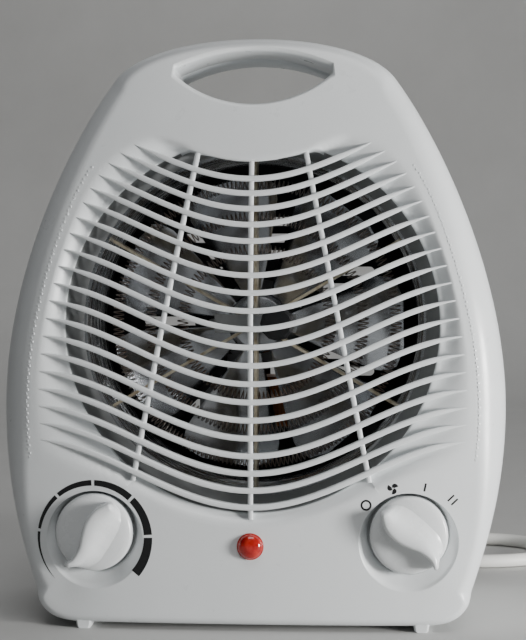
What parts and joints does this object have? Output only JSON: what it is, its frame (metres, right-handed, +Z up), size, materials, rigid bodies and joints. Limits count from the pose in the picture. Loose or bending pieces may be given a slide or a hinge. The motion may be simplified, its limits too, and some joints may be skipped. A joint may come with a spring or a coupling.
{
  "type": "space heater",
  "caption": "Upright white plastic fan heater with a curved slatted grille, carrying handle opening, two rotary knobs, red pilot lamp, wire element, axial fan, motor and mains cord",
  "frame": {"origin": "centre of the casing's box at floor level, where the feet stand (cord left out)", "axes": "+Z up out of the handle, -Y towards the front grille, +X to the viewer's right when facing the grille"},
  "size_m": [0.2676, 0.2718, 0.2533],
  "materials": {
    "shell_plastic": "satin, cool white moulded plastic",
    "knob_plastic": "satin, cool white moulded plastic",
    "cord_plastic": "soft white flexible plastic",
    "lens_plastic": "glossy translucent red",
    "dark_plastic": "matt black heat-resistant plastic",
    "fan_metal": "stamped sheet, bright",
    "switch_plastic": "matt cream insulating plastic",
    "duct_metal": "bright rolled sheet",
    "mica": "pale layered mica board, slight sheen",
    "heater_wire": "drawn resistance wire, dull grey",
    "steel": "zinc-plated",
    "core_iron": "laminated sheet iron, dull",
    "copper": "enamelled copper winding",
    "brass": "bright",
    "lamp_glass": "small clear bulb with an orange glow"
  },
  "bodies": {
    "casing": {"front_shell": "shell_plastic", "rear_shell": "shell_plastic", "thermostat_body": "switch_plastic", "mode_switch_body": "dark_plastic", "pilot_lens": "lens_plastic", "neon_lamp": "lamp_glass", "heater_duct": "duct_metal", "mica_frame": "mica", "element_coil_inner": "heater_wire", "element_coil_middle": "heater_wire", "element_coil_outer": "heater_wire", "cutout_bracket": "steel", "thermal_cutout": "dark_plastic", "motor_stator": "core_iron", "motor_winding": "copper", "front_bearing_bridge": "steel", "rear_bearing_bridge": "steel", "front_bush": "brass", "rear_bush": "brass", "motor_mount": "dark_plastic", "strain_relief": "cord_plastic", "inner_lead": "cord_plastic", "cord_clamp": "cord_plastic", "clamp_saddle": "shell_plastic", "terminal_block": "switch_plastic", "cord_lead": "cord_plastic", "cord_tail": "cord_plastic", "cord_coil": "cord_plastic", "plug_body": "cord_plastic", "plug_pin_1": "brass", "plug_pin_2": "brass", "casing_screw_1": "steel", "casing_screw_2": "steel", "casing_screw_3": "steel", "casing_screw_4": "steel", "casing_screw_5": "steel", "clamp_screw_1": "steel", "clamp_screw_2": "steel", "duct_screw_1": "steel", "duct_screw_2": "steel", "duct_screw_3": "steel", "duct_screw_4": "steel", "mode_switch_screw_1": "steel", "mode_switch_screw_2": "steel", "motor_screw_1": "steel", "motor_screw_2": "steel", "mount_screw_1": "steel", "mount_screw_2": "steel", "mount_screw_3": "steel", "mount_screw_4": "steel", "thermostat_screw_1": "steel", "thermostat_screw_2": "steel"},
    "thermostat_knob": {"thermostat_knob": "knob_plastic", "thermostat_spindle": "steel"},
    "mode_knob": {"mode_knob": "knob_plastic", "mode_spindle": "steel"},
    "fan": {"fan_impeller": "fan_metal", "motor_shaft": "steel", "motor_rotor": "core_iron"}
  },
  "joints": [
    {"name": "thermostat_turn", "type": "hinge", "parent": "casing", "child": "thermostat_knob", "pos_m": [-0.066, -0.052, 0.0418], "axis": [0, 1, 0], "range_deg": [0, 270]},
    {"name": "mode_turn", "type": "hinge", "parent": "casing", "child": "mode_knob", "pos_m": [0.066, -0.052, 0.0418], "axis": [0, 1, 0], "range_deg": [0, 107]},
    {"name": "fan_spin", "type": "hinge", "parent": "casing", "child": "fan", "pos_m": [0, 0.009, 0.1292], "axis": [0, 1, 0], "continuous": true}
  ]
}
